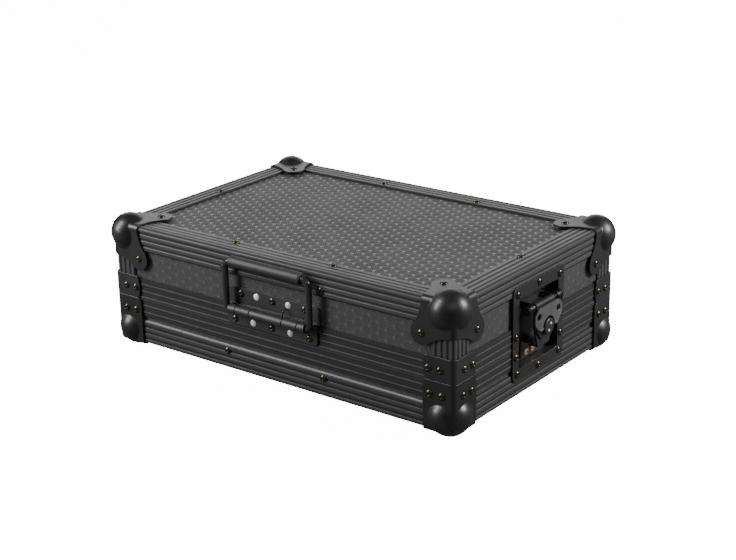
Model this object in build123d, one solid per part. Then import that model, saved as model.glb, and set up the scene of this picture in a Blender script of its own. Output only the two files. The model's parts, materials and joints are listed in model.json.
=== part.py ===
from build123d import *
import math
import os

# Box measured over the edge rails, in millimetres
case_length = 530.0
case_depth = 353.0
case_height = 160.0
seam_share = 0.39375
seam_gap = 0.3
edge_radius = 4.0

# Plywood panels, set back behind the rails
panel_thickness = 7.0
rail_thickness = 3.0

# Ribbed angle rails along the edges
rail_leg = 32.0
rib_first = 4.0
rib_pitch = 8.0
rib_width = 4.4
rib_flank = 0.5
rib_height = 0.8

# Closing rails that cap the panels at the seam
base_closing_leg = 25.0
lid_closing_leg = 26.0
closing_inner_leg = 12.0
closing_inner_wall = 2.0
closing_web = 3.0
closing_lip = 2.0
tongue_inset = 5.0
tongue_width = 3.0
tongue_height = 4.0
tongue_gap = 0.3
bead_first = 9.7
bead_pitch = 9.3
bead_width = 1.2
bead_height = 0.6
bead_flank = 0.3

# Pressed steel corners and braces
stamping_sheet = 2.4
top_ball_radius = 25.0
top_ball_inset = 14.5
foot_ball_radius = 26.2
foot_ball_inset = 17.1
ball_blend = 4.0
lobe_reach = 43.0
lobe_centre = 43.0
lobe_radius = 15.0
foot_leg = 41.8
foot_corner_radius = 6.0
brace_leg = 41.0
brace_height = 29.6
brace_bulge = 2.5
brace_corner_radius = 3.0
brace_rivet_lift = -0.8

# Domed rivets
rivet_head_radius = 4.8
rivet_head_height = 2.3
rivet_rim = 0.4
rivet_eye_radius = 1.5
rivet_eye_depth = 1.2
rivet_shank_radius = 2.4
rivet_hole_gap = 0.08
rivet_end_cover = 0.5

# Rivet places, measured from the case edges or from the middle of a side
rail_rivet_inset = 24.5
rail_rivet_spread = 76.5
brace_rivet_near = 17.5
brace_rivet_far = 34.0
foot_rivet_near = 15.2
foot_rivet_far = 32.0
foot_rivet_drop = 17.0
foot_rivet_under = 35.5

# Recessed latch dishes on the short sides
dish_sheet = 1.8
dish_depth = 12.5
dish_half_width = 44.0
dish_flange = 13.0
dish_rail_gap = 4.0
dish_flange_drop = 15.4
dish_flange_rise = 16.6
dish_corner_radius = 9.5
dish_pan_radius = 4.0
dish_cut_gap = 0.5
dish_rivet_inset = 10.0
dish_rivet_side = 7.0
dish_rivet_edge = 6.8
dish_rivet_seam_up = 15.0
dish_rivet_seam_down = 10.0

# Latch bracket, hinge pin and coil springs
latch_pin_drop = 15.5
latch_pin_out = 6.7
latch_pin_radius = 2.0
latch_curl_radius = 4.5
latch_curl_half = 20.0
latch_running_gap = 0.1
bracket_sheet = 2.0
ear_radius = 3.8
ear_gap = 1.8
spool_radius = 4.2
spool_length = 12.5
spool_side_gap = 0.3
spool_flange = 1.2
latch_wire = 1.8
latch_coil_gap = 0.25
latch_coil_turns = 3.25
latch_coil_pitch = 2.35
latch_coil_leg = 6.0

# Latch carrier, sliding hook, spindle and folding wing
carrier_sheet = 2.2
carrier_half = 21.2
carrier_tip_half = 8.0
carrier_taper = 16.0
spindle_above_seam = 17.0
carrier_cheek = 2.0
hook_gap = 0.2
hook_sheet = 2.2
hook_top_gap = 6.0
hook_below_seam = 8.0
hook_foot_half = 12.5
hook_taper_drop = 4.0
hook_nose = 2.4
hook_keeper_gap = 0.4
hook_lip_gap = 0.3
hook_stroke = 7.0
crank_pin_radius = 1.5
crank_slot_play = 0.9
crank_disc_radius = 5.6
crank_disc_sheet = 1.2
spindle_radius = 10.5
spindle_shaft_radius = 4.0
spindle_rise = 6.0
spindle_edge = 1.8
stud_radius = 1.7
stud_height = 0.4
stud_offset = 4.4
wing_sheet = 2.2
wing_out = 13.6
wing_half = 30.5
wing_rise = 28.0
wing_shoulder = 8.0
wing_flank_low = 9.5
wing_lobe_half = 20.4
wing_drop = 1.5
wing_arch_gap = 2.5
wing_corner = 2.0
wing_hole_half = 21.4
wing_hole_rise = 17.5
wing_hole_radius = 4.2
trunnion_radius = 1.2

# Keeper on the lower dish
keeper_half = 20.0
keeper_sheet = 2.0
keeper_drop = 17.0
keeper_lip_half = 14.0
keeper_lip_reach = 6.5
keeper_rivet_half = 7.3
keeper_rivet_rise = 7.7
keeper_rivet_head = 1.6

# Sprung handle on the front of the lid
handle_pivot_rise = 24.2
handle_pivot_out = 9.0
handle_sheet = 2.0
handle_lower_half = 71.0
handle_upper_half = 73.0
handle_lower_gap = 1.7
handle_upper_rise = 25.5
handle_corner_radius = 6.0
handle_jog_gap = 0.7
barrel_radius = 6.0
barrel_half = 60.3
barrel_slit = 0.8
barrel_slit_near = 25.7
barrel_slit_far = 48.8
bail_wire_radius = 4.0
bail_running_gap = 0.15
bail_half_width = 65.5
bail_rise = 62.0
bail_pin_end = 28.0
bail_low_bend = 5.0
bail_high_bend = 10.0
grip_radius = 7.3
grip_half = 55.5
grip_bore_gap = 0.05
grip_end_round = 1.2
handle_upper_rivet_inset = 7.0
handle_upper_rivet_pitch = 25.0
handle_lower_rivet_inset = 7.3
handle_lower_rivet_pitch = 29.3
bolt_radius = 4.4
bolt_height = 2.2
handle_spring_wire = 1.4
handle_spring_turns = 13.5
handle_spring_pitch = 3.0
handle_spring_side_gap = 0.15
handle_spring_neck = 4.0
spring_tail_depth = 2.0
handle_spring_bend = 3.0
handle_spring_hook_inset = 12.0

# Foam lining
foam_wall = 14.0
foam_floor = 10.0
foam_lid = 18.0
foam_gap = 0.3

# Values that follow from the sizes above
half_length = case_length / 2
half_depth = case_depth / 2
inner_face = rail_thickness + panel_thickness
closing_depth = inner_face + closing_inner_wall
seam_height = case_height * seam_share
base_web = tongue_height + tongue_gap + closing_web
lid_bottom = seam_height + seam_gap
lid_post_bottom = lid_bottom + lid_closing_leg
lid_post_top = case_height - rail_leg
dish_floor = -dish_depth
flange_half = dish_half_width + dish_flange
dish_pan_bottom = rail_leg + dish_rail_gap
dish_pan_top = case_height - rail_leg - dish_rail_gap
dish_flange_bottom = dish_pan_bottom - dish_flange_drop
dish_flange_top = dish_pan_top + dish_flange_rise
latch_pin_height = dish_pan_top - latch_pin_drop
spindle_height = seam_height + spindle_above_seam
carrier_front = latch_pin_out + latch_curl_radius
carrier_back = carrier_front - carrier_sheet
hook_front = carrier_back - hook_gap
hook_back = hook_front - hook_sheet
hook_half = carrier_half - carrier_cheek - hook_gap
hook_top = latch_pin_height - latch_curl_radius - hook_top_gap
hook_bottom = seam_height - hook_below_seam
hook_taper_top = spindle_height - hook_taper_drop
crank_throw = hook_stroke / 2
ear_inner = latch_curl_half + ear_gap
ear_outer = ear_inner + bracket_sheet
wing_hinge_out = wing_out + wing_sheet / 2
knuckle_radius = wing_sheet
wing_arch_radius = spindle_radius + wing_arch_gap
keeper_rivet_height = dish_pan_bottom + keeper_rivet_rise
keeper_lip_top = hook_bottom + hook_nose + hook_lip_gap + keeper_sheet
keeper_lip_out = dish_floor + keeper_sheet + keeper_lip_reach
hook_nose_in = keeper_lip_out + hook_keeper_gap
handle_pivot_height = lid_bottom + handle_pivot_rise
handle_lower_edge = lid_bottom + handle_lower_gap
handle_upper_edge = handle_pivot_height + handle_upper_rise
handle_lower_rivet_height = handle_lower_edge + handle_lower_rivet_inset
handle_upper_rivet_height = handle_upper_edge - handle_upper_rivet_inset
upper_seat = handle_sheet - rail_thickness
case_lift = foot_ball_radius - foot_ball_inset
top_ball_out = top_ball_radius - top_ball_inset
handle_out = handle_pivot_out + max(grip_radius, barrel_radius)
case_shift = (handle_out - top_ball_out) / 2
far = case_length
corner_names = ("back_right", "back_left", "front_right", "front_left")

# Outer face planes, each with its own x along the face and y upwards
front = Plane(origin=(0, -half_depth, 0), x_dir=(1, 0, 0), z_dir=(0, -1, 0))
back = Plane(origin=(0, half_depth, 0), x_dir=(-1, 0, 0), z_dir=(0, 1, 0))
right = Plane(origin=(half_length, 0, 0), x_dir=(0, 1, 0), z_dir=(1, 0, 0))
left = Plane(origin=(-half_length, 0, 0), x_dir=(0, -1, 0), z_dir=(-1, 0, 0))
top = Plane(origin=(0, 0, case_height), x_dir=(1, 0, 0), z_dir=(0, 0, 1))
bottom = Plane(origin=(0, 0, 0), x_dir=(1, 0, 0), z_dir=(0, 0, -1))
side_faces = ((front, half_length), (back, half_length), (right, half_depth), (left, half_depth))


def block(x0, x1, y0, y1, z0, z1):
    """A box given by its limits."""
    centre = Pos((x0 + x1) / 2, (y0 + y1) / 2, (z0 + z1) / 2)
    return centre * Box(x1 - x0, y1 - y0, z1 - z0)


def on(plane, shape):
    """A shape modelled in a face's own frame, put on that face."""
    return shape.moved(plane.location)


def outline_plate(points, start, thickness):
    """A flat plate with a polygon outline in x and y."""
    face = make_face(Polyline(*points, close=True))
    return Pos(0, 0, start) * extrude(face, amount=thickness)


def rod_along_x(radius, x0, x1, y, z):
    """A round bar along x."""
    return Pos((x0 + x1) / 2, y, z) * Rot(0, 90, 0) * Cylinder(radius, x1 - x0)


def rod_along_z(radius, x, y, z0, z1):
    """A round bar along z."""
    return Pos(x, y, (z0 + z1) / 2) * Cylinder(radius, z1 - z0)


def mirrored_pair(shape):
    """A shape and its mirror image across the middle of a face."""
    return shape + shape.mirror(Plane.YZ)


def case_block():
    """The whole case as one block with rounded edges, which trims the rails."""
    body = block(-half_length, half_length, -half_depth, half_depth, 0, case_height)
    return fillet(body.edges(), edge_radius)


def rib_points():
    """Points of one ribbed leg, from its tip to the edge of the case."""
    half = rib_width / 2
    count = int((rail_leg - rib_first - half - rib_flank) // rib_pitch) + 1
    points = [(rail_leg, rail_thickness), (rail_leg, rib_height * 1.5)]
    for index in reversed(range(count)):
        centre = rib_first + index * rib_pitch
        points.append((centre + half + rib_flank, rib_height))
        points.append((centre + half, 0))
        if index > 0:
            points.append((centre - half, 0))
            points.append((centre - half - rib_flank, rib_height))
    return points


def ribbed_angle_section():
    """Ribbed angle with its corner at the origin and its legs along x and y."""
    leg = rib_points()
    other_leg = [(b, a) for a, b in reversed(leg)]
    inside = (rail_thickness, rail_thickness)
    outline = Polyline(*leg, (0, 0), *other_leg, inside, close=True)
    return make_face(outline)


def mitre_prism(length, depth, low, high):
    """Plan shape that cuts a rail's ends at 45 degrees."""
    half = length / 2
    points = [(-half, 0), (half, 0), (half - depth, depth), (-half + depth, depth)]
    return outline_plate(points, low, high - low)


def along_front(section, length, depth, height):
    """A rail with this section, mitred, lying along x at the front."""
    bar = extrude(Plane.YZ * section, amount=length / 2, both=True)
    return bar & mitre_prism(length, depth, -height, height)


def four_sides(make, trim):
    """The front, back, left and right rail of one kind, trimmed to the rounded case."""
    rails = {}
    for name, angle, length, offset in (
        ("front", 0, case_length, half_depth),
        ("back", 180, case_length, half_depth),
        ("left", -90, case_depth, half_length),
        ("right", 90, case_depth, half_length),
    ):
        placed = Rot(0, 0, angle) * Pos(0, -offset, 0) * make(length)
        rails[name] = placed & trim
    return rails


def bottom_edge_rail(length):
    """Ribbed edge rail of the base, along the front."""
    return along_front(ribbed_angle_section(), length, rail_leg, rail_leg)


def top_edge_rail(length):
    """Ribbed edge rail of the lid, along the front."""
    return Pos(0, 0, case_height) * bottom_edge_rail(length).mirror(Plane.XY)


def closing_outline(leg, web):
    """Closing rail section, with x inwards from the face and y away from the seam."""
    points = [(0, 0), (0, closing_lip), (bead_height, closing_lip + bead_flank)]
    centre = bead_first
    while centre + bead_width < leg - closing_lip:
        half = bead_width / 2
        points.append((bead_height, centre - half - bead_flank))
        points.append((0, centre - half))
        points.append((0, centre + half))
        points.append((bead_height, centre + half + bead_flank))
        centre += bead_pitch
    points.append((bead_height, leg - bead_height))
    points.append((2 * bead_height, leg))
    points.append((rail_thickness, leg))
    points.append((rail_thickness, web))
    points.append((inner_face, web))
    points.append((inner_face, web + closing_inner_leg))
    points.append((closing_depth, web + closing_inner_leg))
    points.append((closing_depth, 0))
    return make_face(Polyline(*points, close=True))


def lid_closing_rail(length):
    """Lid closing rail with its tongue, along the front."""
    section = closing_outline(lid_closing_leg, closing_web)
    root = closing_web / 2
    tongue = Rectangle(tongue_width, tongue_height + root)
    middle = tongue_inset + tongue_width / 2
    section = section + Pos(middle, (root - tongue_height) / 2) * tongue
    rail = along_front(section, length, closing_depth, 2 * lid_closing_leg)
    return Pos(0, 0, lid_bottom) * rail


def base_closing_rail(length):
    """Base closing rail with its groove, along the front."""
    section = closing_outline(base_closing_leg, base_web)
    groove = Rectangle(tongue_width + 2 * tongue_gap, 2 * (tongue_height + tongue_gap))
    section = section - Pos(tongue_inset + tongue_width / 2, 0) * groove
    rail = along_front(section, length, closing_depth, 2 * base_closing_leg)
    return Pos(0, 0, seam_height) * rail.mirror(Plane.XY)


def dish_opening(low, high):
    """The opening cut for the dish pans, right through both short sides."""
    half = dish_half_width + dish_sheet + dish_cut_gap
    return block(-far, far, -half, half, low, high)


def corner_posts():
    """Upright ribbed angles at the lid's corners, between closing and edge rails."""
    height = lid_post_top - lid_post_bottom
    post = extrude(ribbed_angle_section(), amount=height)
    post = post & rounded_upright(height)
    post = Pos(-half_length, -half_depth, lid_post_bottom) * post
    return in_four_corners(post)


def rounded_upright(height):
    """A block with one rounded upright edge, for the posts."""
    trim = block(0, 2 * rail_leg, 0, 2 * rail_leg, 0, height)
    edge = trim.edges().filter_by(Axis.Z).sort_by(lambda e: e.center().X + e.center().Y)[0]
    return fillet(edge, edge_radius)


def in_four_corners(shape):
    """One corner piece and its mirror images in the other three corners."""
    pair = [shape, shape.mirror(Plane.YZ)]
    return pair + [piece.mirror(Plane.XZ) for piece in pair]


def corner_skin(reach):
    """Sheet over a corner at the origin, with the case on the negative side, and its core."""
    core = block(-reach, 0, -reach, 0, -reach, 0)
    skin = block(-reach, stamping_sheet, -reach, stamping_sheet, -reach, stamping_sheet)
    core = fillet(core.edges().filter_by(touches_corner(0)), edge_radius)
    skin_edges = skin.edges().filter_by(touches_corner(stamping_sheet))
    skin = fillet(skin_edges, edge_radius + stamping_sheet)
    return skin, core


def touches_corner(value):
    """A test for the three edges that meet at the outer corner."""

    def test(edge):
        ends = [edge.position_at(0), edge.position_at(1)]
        return any(abs(p.X - value) + abs(p.Y - value) + abs(p.Z - value) < 0.001 for p in ends)

    return test


def ball_stamping(skin, core, outlines, radius, inset):
    """Pressed corner: sheet inside the outlines, swelling smoothly into a hollow ball."""
    outer = blended_ball(skin, radius, inset, ball_blend)
    inner = blended_ball(core, radius - stamping_sheet, inset, ball_blend + stamping_sheet)
    return (outer - inner) & outlines


def blended_ball(solid, radius, inset, blend):
    """A corner block with a ball at its corner and a fillet where they meet."""
    centre = Vector(-inset, -inset, -inset)
    joined = solid + Pos(centre) * Sphere(radius)

    def on_ball(edge):
        spots = [edge.position_at(share) for share in (0, 0.3, 0.5, 0.8, 1)]
        meets = all(abs((spot - centre).length - radius) < 0.001 for spot in spots)
        return meets and max(*spots[2]) > -edge_radius

    return fillet(joined.edges().filter_by(on_ball), blend)


def lobe_outline():
    """Outline of one lobed plate in the x-y plane, corner at the origin, case on the negative side."""
    lead = lobe_reach - lobe_centre
    scallop = (lead**2 + lobe_centre**2 - lobe_radius**2) / (2 * (lobe_radius - lead))
    to_arc = math.hypot(lobe_centre, lobe_reach + scallop - lobe_centre)
    share = lobe_radius / to_arc
    join_u = lobe_centre + (lobe_reach + scallop - lobe_centre) * share
    join_w = lobe_centre * (1 - share)
    turn = math.asin(join_w / scallop) / 2
    mid_u = lobe_reach + scallop * (1 - math.cos(turn))
    mid_w = scallop * math.sin(turn)
    tip = lobe_centre + lobe_radius / math.sqrt(2)
    out = top_ball_radius
    edges = Polyline((out, -lobe_reach), (out, out), (-lobe_reach, out), (-lobe_reach, 0))
    edges += ThreePointArc((-lobe_reach, 0), (-mid_u, -mid_w), (-join_u, -join_w))
    edges += ThreePointArc((-join_u, -join_w), (-tip, -tip), (-join_w, -join_u))
    edges += ThreePointArc((-join_w, -join_u), (-mid_w, -mid_u), (0, -lobe_reach))
    edges += Line((0, -lobe_reach), (out, -lobe_reach))
    return make_face(edges)


def three_faces(prism):
    """A prism over the top of a corner, turned onto the two side faces as well."""
    diagonal = Axis((0, 0, 0), (1, 1, 1))
    return prism + prism.rotate(diagonal, 120) + prism.rotate(diagonal, 240)


def top_corner():
    """Lid ball corner with three riveted lobes, at the right back of the lid."""
    reach = lobe_centre + lobe_radius + rail_leg
    skin, core = corner_skin(reach)
    height = edge_radius + top_ball_radius
    prism = Pos(0, 0, -edge_radius) * extrude(lobe_outline(), amount=height)
    piece = ball_stamping(skin, core, three_faces(prism), top_ball_radius, top_ball_inset)
    return Pos(half_length, half_depth, case_height) * piece


def foot_corner():
    """Base corner: ball foot and brace in one pressing, at the right back of the base."""
    reach = seam_height + rail_leg
    skin, core = corner_skin(reach)
    out = foot_ball_radius
    under = block(-foot_leg, out, -foot_leg, out, -edge_radius, out)
    inner_edge = under.edges().filter_by(Axis.Z).sort_by(lambda e: e.center().X + e.center().Y)[0]
    under = fillet(inner_edge, foot_corner_radius)
    side = block(-foot_leg, out, -edge_radius, out, -seam_height, out)
    free_edge = side.edges().filter_by(Axis.Y).sort_by(lambda e: e.center().X + e.center().Z)[0]
    side = fillet(free_edge, foot_corner_radius)
    other = side.mirror(Plane(origin=(0, 0, 0), z_dir=(1, -1, 0)))
    outlines = under + side + other
    piece = ball_stamping(skin, core, outlines, foot_ball_radius, foot_ball_inset)
    return Pos(half_length, half_depth, 0) * piece.mirror(Plane.XY)


def brace():
    """Pressed brace round the lid's upright edge at the seam, at the right back."""
    reach = 2 * brace_leg
    outer = block(-reach, stamping_sheet, -reach, stamping_sheet, 0, brace_height)
    inner = block(-reach, 0, -reach, 0, -1, brace_height + 1)
    outer = fillet(upright_corner(outer), edge_radius + stamping_sheet)
    inner = fillet(upright_corner(inner), edge_radius)
    low = brace_leg - brace_bulge
    sheet = stamping_sheet
    edges = Polyline((-low, brace_height), (sheet, brace_height), (sheet, 0), (-low, 0))
    edges += ThreePointArc((-low, 0), (-brace_leg, brace_height / 2), (-low, brace_height))
    outline = make_face(edges)
    outline = fillet(outline.vertices().group_by(Axis.X)[0], brace_corner_radius)
    prism = extrude(Plane.XZ * outline, amount=reach + stamping_sheet, both=True)
    other = prism.mirror(Plane(origin=(0, 0, 0), z_dir=(1, -1, 0)))
    piece = (outer - inner) & prism & other
    return Pos(half_length, half_depth, lid_bottom) * piece


def upright_corner(solid):
    """The outer upright edge of a corner block."""
    return solid.edges().filter_by(Axis.Z).sort_by(lambda e: e.center().X + e.center().Y)[-1]


def rivet(depth, head_height):
    """Domed blind rivet with an eye in its head, seated at z=0 and reaching down to -depth."""
    head = rivet_head_radius
    eye = rivet_eye_radius
    bulge = ((head + eye) / 2, rivet_rim + (head_height - rivet_rim) * 0.72)
    shank = rivet_shank_radius
    edges = Polyline((0, -depth), (shank, -depth), (shank, 0), (head, 0), (head, rivet_rim))
    edges += ThreePointArc((head, rivet_rim), bulge, (eye, head_height))
    floor = head_height - rivet_eye_depth
    edges += Polyline((eye, head_height), (eye, floor), (0, floor), (0, -depth))
    return revolve(Plane.XZ * make_face(edges), axis=Axis.Z)


def bolt(depth):
    """Plain domed bright bolt, seated at z=0."""
    rise = bolt_height - rivet_rim
    sphere = (bolt_radius**2 + rise**2) / (2 * rise)
    turn = math.asin(bolt_radius / sphere) / 2
    mid = (sphere * math.sin(turn), bolt_height - sphere * (1 - math.cos(turn)))
    shank = rivet_shank_radius
    head = bolt_radius
    edges = Polyline((0, -depth), (shank, -depth), (shank, 0), (head, 0), (head, rivet_rim))
    edges += ThreePointArc((head, rivet_rim), mid, (0, bolt_height))
    edges += Line((0, bolt_height), (0, -depth))
    return revolve(Plane.XZ * make_face(edges), axis=Axis.Z)


def seat_depth(seat):
    """How far a shank reaches from its seat to just short of a panel's inner face."""
    return seat + inner_face - rivet_end_cover


def panel_rivet(seat):
    """Rivet that holds sheet metal through a panel."""
    return rivet(seat_depth(seat), rivet_head_height)


def lid_rivet_places():
    """Face, x, y and seat height of each black rivet in the lid."""
    places = []
    brace_y = lid_bottom + brace_height / 2 + brace_rivet_lift
    lobe_y = case_height - lobe_centre
    for plane, half in side_faces:
        for side in (-1, 1):
            places.append((plane, side * (half - lobe_centre), lobe_y, stamping_sheet))
            places.append((plane, side * (half - brace_rivet_near), brace_y, stamping_sheet))
            places.append((plane, side * (half - brace_rivet_far), brace_y, stamping_sheet))
    for x in (-1, 1):
        for y in (-1, 1):
            lobe_x = x * (half_length - lobe_centre)
            places.append((top, lobe_x, y * (half_depth - lobe_centre), stamping_sheet))
            places.append((top, x * rail_rivet_spread, y * (half_depth - rail_rivet_inset), 0))
        places.append((top, x * (half_length - rail_rivet_inset), 0, 0))
        for plane in (front, back):
            places.append((plane, x * rail_rivet_spread, case_height - rail_rivet_inset, 0))
    for plane in (right, left):
        places.append((plane, 0, dish_flange_top - dish_rivet_side, dish_sheet))
        for side in (-1, 1):
            high = (side * (flange_half - dish_rivet_inset), dish_flange_top - dish_rivet_inset)
            low = (side * (flange_half - dish_rivet_edge), seam_height + dish_rivet_seam_up)
            places.append((plane, *high, dish_sheet))
            places.append((plane, *low, dish_sheet))
    for step in (-2, 0, 2):
        places.append((front, step * handle_lower_rivet_pitch, handle_lower_rivet_height, handle_sheet))
        places.append((front, step * handle_upper_rivet_pitch, handle_upper_rivet_height, upper_seat))
    return places


def handle_bolt_places():
    """The four bright bolts among the handle's rivets."""
    places = []
    for step in (-1, 1):
        places.append((front, step * handle_lower_rivet_pitch, handle_lower_rivet_height, handle_sheet))
        places.append((front, step * handle_upper_rivet_pitch, handle_upper_rivet_height, upper_seat))
    return places


def base_rivet_places():
    """Face, x, y and seat height of each black rivet in the base."""
    places = []
    foot_y = seam_height - foot_rivet_drop
    for plane, half in side_faces:
        for side in (-1, 1):
            places.append((plane, side * (half - foot_rivet_near), foot_y, stamping_sheet))
            places.append((plane, side * (half - foot_rivet_far), foot_y, stamping_sheet))
    for x in (-1, 1):
        for y in (-1, 1):
            under = (x * (half_length - foot_rivet_under), y * (half_depth - foot_rivet_under))
            places.append((bottom, *under, stamping_sheet))
            places.append((bottom, x * rail_rivet_spread, y * (half_depth - rail_rivet_inset), 0))
        places.append((bottom, x * (half_length - rail_rivet_inset), 0, 0))
        for plane in (front, back):
            places.append((plane, x * rail_rivet_spread, rail_rivet_inset, 0))
    for plane in (right, left):
        places.append((plane, 0, dish_flange_bottom + dish_rivet_side, dish_sheet))
        for side in (-1, 1):
            low = (side * (flange_half - dish_rivet_inset), dish_flange_bottom + dish_rivet_inset)
            high = (side * (flange_half - dish_rivet_edge), seam_height - dish_rivet_seam_down)
            places.append((plane, *low, dish_sheet))
            places.append((plane, *high, dish_sheet))
    return places


def keeper_rivet_places():
    """The two bare rivets of each keeper."""
    seat = dish_floor + keeper_sheet
    return [
        (plane, side * keeper_rivet_half, keeper_rivet_height, seat)
        for plane in (right, left)
        for side in (-1, 1)
    ]


def set_at(places, make):
    """Fasteners made for their seats and put in their places."""
    return [on(plane, Pos(x, y, seat) * make(seat)) for plane, x, y, seat in places]


def holes_for(places, below):
    """Clearance holes for the fasteners, down to this far below the face."""
    radius = rivet_shank_radius + rivet_hole_gap
    holes = []
    for plane, x, y, seat in places:
        hole = rod_along_z(radius, x, y, -below, seat + 1)
        holes.append(on(plane, hole))
    return holes


def drilled(shape, holes):
    """A piece with every hole cut that reaches it."""
    reach = shape.bounding_box()
    near = [hole for hole in holes if boxes_meet(reach, hole.bounding_box())]
    return shape - near if near else shape


def boxes_meet(one, other):
    """Whether two bounding boxes overlap."""
    return (
        one.min.X < other.max.X
        and other.min.X < one.max.X
        and one.min.Y < other.max.Y
        and other.min.Y < one.max.Y
        and one.min.Z < other.max.Z
        and other.min.Z < one.max.Z
    )


def dish(flange_low, flange_high, pan_low, pan_high):
    """Half of a latch dish in its face's frame: flange, straight walls and floor."""
    height = flange_high - flange_low
    flange = block(-flange_half, flange_half, flange_low, flange_high, 0, dish_sheet)
    flange = round_outer(flange, dish_corner_radius, flange_low + height / 2)
    half = dish_half_width + dish_sheet
    inner = block(-dish_half_width, dish_half_width, pan_low, pan_high, dish_floor, 2 * dish_sheet)
    inner = round_outer(inner, dish_pan_radius, (pan_low + pan_high) / 2)
    high = pan_high + dish_sheet
    low = pan_low - dish_sheet
    outer = block(-half, half, low, high, dish_floor - dish_sheet, 0)
    outer = round_outer(outer, dish_pan_radius + dish_sheet, (low + high) / 2)
    inside = block(-far, far, flange_low, flange_high, -far, far)
    return ((flange + outer) - inner) & inside


def round_outer(solid, radius, middle):
    """Rounds the two corners of a plate that lie away from the seam."""
    away = 1 if middle > seam_height else -1
    edges = solid.edges().filter_by(Axis.Z).sort_by(lambda e: away * e.center().Y)[-2:]
    return fillet(edges, radius)


def upper_dish():
    """The lid's half of a latch dish."""
    return dish(lid_bottom, dish_flange_top, lid_bottom - dish_depth, dish_pan_top)


def lower_dish():
    """The base's half of a latch dish."""
    return dish(dish_flange_bottom, seam_height, dish_pan_bottom, seam_height + dish_depth)


def keeper():
    """Keeper plate on the lower dish's floor, its lip turned out over the hook's nose."""
    seat = dish_floor
    bottom_edge = keeper_rivet_height - keeper_drop / 2 + rivet_shank_radius
    plate = block(-keeper_half, keeper_half, bottom_edge, keeper_lip_top, seat, seat + keeper_sheet)
    plate = fillet(plate.edges().filter_by(Axis.Z), keeper_sheet)
    lip_low = keeper_lip_top - keeper_sheet
    lip = block(-keeper_lip_half, keeper_lip_half, lip_low, keeper_lip_top, seat, keeper_lip_out)
    return plate + lip


def bracket():
    """Bracket on the upper dish's floor, with two ears that carry the hinge pin."""
    seat = dish_floor
    top_edge = latch_pin_height + 2 * latch_curl_radius
    low_edge = latch_pin_height - 3 * latch_curl_radius
    plate = block(-ear_outer, ear_outer, low_edge, top_edge, seat, seat + bracket_sheet)
    ear = block(ear_inner, ear_outer, -ear_radius, ear_radius, seat - latch_pin_out, 0)
    ear = ear + rod_along_x(ear_radius, ear_inner, ear_outer, 0, 0)
    ear = Pos(0, latch_pin_height, latch_pin_out) * ear
    bore = latch_pin_radius + latch_running_gap / 2
    hole = rod_along_x(bore, -far, far, latch_pin_height, latch_pin_out)
    return mirrored_pair(ear) + plate - hole


def bracket_pin():
    """Hinge pin with a pressed-on spool at each end for the coil springs."""
    end = ear_outer + spool_side_gap + spool_length
    y = latch_pin_height
    z = latch_pin_out
    pin = rod_along_x(latch_pin_radius, -end, end, y, z)
    spool = rod_along_x(spool_radius, ear_outer + spool_side_gap, end, y, z)
    rim = rod_along_x(spool_radius + latch_wire, end, end + spool_flange, y, z)
    return pin + mirrored_pair(spool + rim)


def biarc(start, start_way, end, end_way):
    """Two tangent arcs from one point and direction to another."""
    across = end - start
    ways = start_way + end_way
    lean = 2 * (1 - start_way.dot(end_way))
    along = across.dot(ways)
    if lean > 0.000001:
        reach = (math.sqrt(along**2 + lean * across.dot(across)) - along) / lean
    else:
        reach = across.dot(across) / (4 * across.dot(end_way))
    middle = (start + end + (start_way - end_way) * reach) * 0.5
    first = TangentArc(start, middle, tangent=start_way)
    return [first, TangentArc(middle, end, tangent=first.tangent_at(1))]


def coil_point(radius, pitch, turn):
    """A point and direction on a coil about the x axis, turn counted in whole turns."""
    angle = 2 * math.pi * turn
    point = Vector(pitch * turn, radius * math.cos(angle), radius * math.sin(angle))
    way = Vector(pitch, -2 * math.pi * radius * math.sin(angle), 2 * math.pi * radius * math.cos(angle))
    return point, way.normalized()


def coil_edges(radius, pitch, first_turn, last_turn, step):
    """Arcs of a coil, a biarc for each half or quarter turn."""
    edges = []
    count = round((last_turn - first_turn) / step)
    for index in range(count):
        point, way = coil_point(radius, pitch, first_turn + index * step)
        next_point, next_way = coil_point(radius, pitch, first_turn + (index + 1) * step)
        edges += biarc(point, way, next_point, next_way)
    return edges


def least_gap(name, edges, wire, turn_length):
    """Prints how near a spring's wire comes to itself, measured on points."""
    points = []
    travelled = 0
    for edge in edges:
        steps = max(3, int(edge.length / wire * 2))
        points += [(travelled + edge.length * i / steps, edge.position_at(i / steps)) for i in range(steps)]
        travelled += edge.length
    gap = min(
        (one - other).length
        for index, (place, one) in enumerate(points)
        for far_place, other in points[index + 1 :]
        if turn_length / 2 < far_place - place < 2 * turn_length
    )
    print(name, "least gap to itself", round(gap - wire, 2), "mm")


def wire_solid(edges, wire):
    """One round wire swept along tangent edges."""
    start = edges[0]
    section = Plane(origin=start.position_at(0), z_dir=start.tangent_at(0)) * Circle(wire / 2)
    return sweep(section, path=Wire(edges))


def latch_spring():
    """Coil spring on a spool of the hinge pin, one leg on the dish floor, one hanging down."""
    radius = spool_radius + latch_coil_gap + latch_wire / 2
    coil = coil_edges(radius, latch_coil_pitch, 0, latch_coil_turns, 0.25)
    first, first_way = coil_point(radius, latch_coil_pitch, 0)
    last, last_way = coil_point(radius, latch_coil_pitch, latch_coil_turns)
    to_floor = latch_pin_out - dish_floor - latch_coil_gap
    floor_leg = Line(first - first_way * to_floor, first)
    free_leg = Line(last, last + last_way * latch_coil_leg)
    edges = [floor_leg] + coil + [free_leg]
    least_gap("latch spring", edges, latch_wire, 2 * math.pi * radius)
    drift = to_floor * latch_coil_pitch / (2 * math.pi * radius)
    start = ear_outer + spool_side_gap + latch_wire / 2 + latch_coil_gap + drift
    spring = wire_solid(edges, latch_wire)
    return Pos(start, latch_pin_height, latch_pin_out) * spring


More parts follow.
